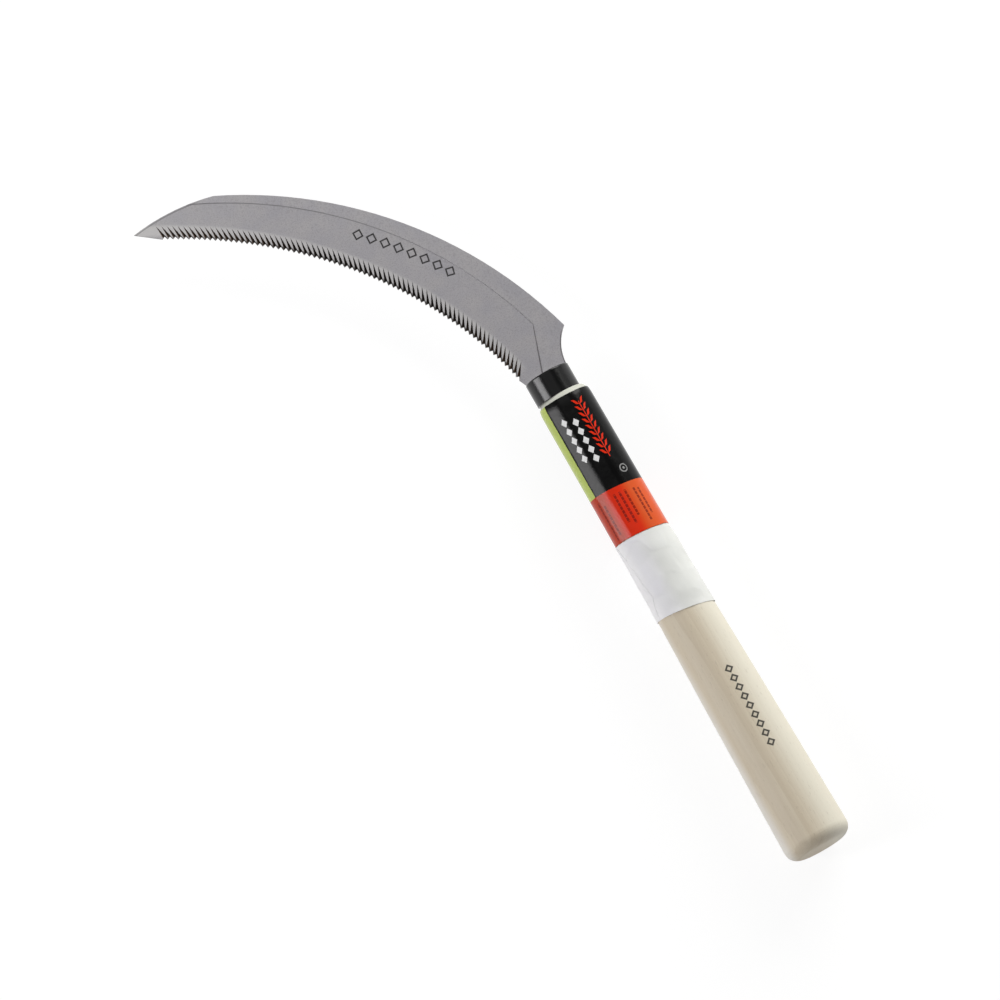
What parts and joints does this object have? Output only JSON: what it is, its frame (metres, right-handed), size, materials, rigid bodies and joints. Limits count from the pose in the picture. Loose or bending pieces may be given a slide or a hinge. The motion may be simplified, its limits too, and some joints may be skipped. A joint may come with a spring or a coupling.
{
  "type": "sickle",
  "caption": "Short-handled sickle with a curved saw-toothed steel blade pinned into a turned wood handle under a black ferrule, with a label and a paper band.",
  "frame": {"origin": "middle of the flat butt of the handle, on the handle's axis", "axes": "+Y along the handle, from the butt to the blade; +X to the spine's side, so the teeth are on the -X side; +Z out of the ground face of the blade"},
  "size_m": [0.1237, 0.3329, 0.0268],
  "materials": {
    "handle_wood": "bare, finely sanded, straight grain",
    "ferrule_black": "gloss",
    "blade_steel": "satin, ground along the teeth",
    "pin_steel": "plain",
    "label_print": "coated printed sheet, black and orange fields",
    "wrap_paper": "plain paper, slightly creased"
  },
  "bodies": {
    "root": {"handle": "handle_wood", "ferrule": "ferrule_black", "blade": "blade_steel", "tang_pin": "pin_steel", "label": "label_print", "paper_band": "wrap_paper"}
  },
  "joints": []
}
